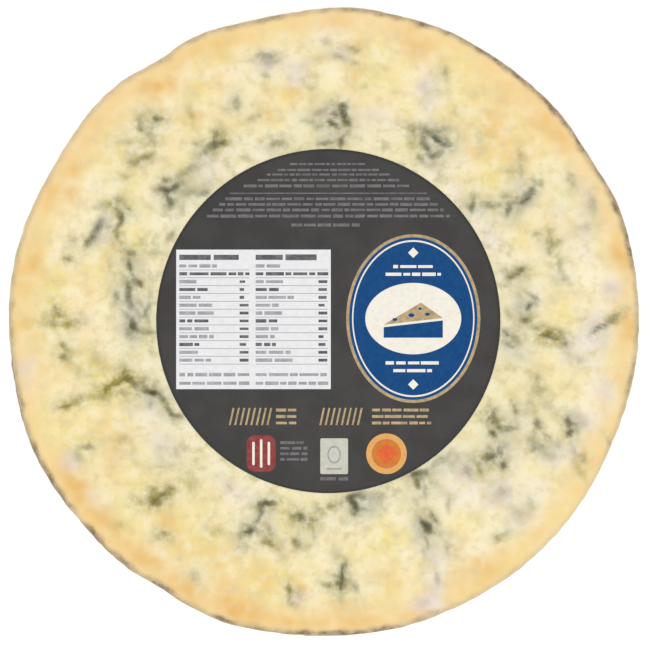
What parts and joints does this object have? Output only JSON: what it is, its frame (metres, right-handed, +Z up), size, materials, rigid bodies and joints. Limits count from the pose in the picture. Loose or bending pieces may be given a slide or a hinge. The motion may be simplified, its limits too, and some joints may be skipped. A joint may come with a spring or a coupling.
{
  "type": "blue cheese wheel",
  "caption": "Half of a blue cheese wheel, cut across its height: veined cream paste on the cut face, crusty rind round the side and base, and a round dark label.",
  "frame": {"origin": "the middle of the base, on the level it stands on", "axes": "+Z up, from the base to the cut face; +Y towards the top edge of the label's print; +X to the right of the print seen from above"},
  "size_m": [0.2063, 0.2057, 0.0608],
  "materials": {
    "cheese": "satin",
    "label": "satin"
  },
  "bodies": {
    "root": {"cheese_wheel": "cheese", "label": "label"}
  },
  "joints": []
}
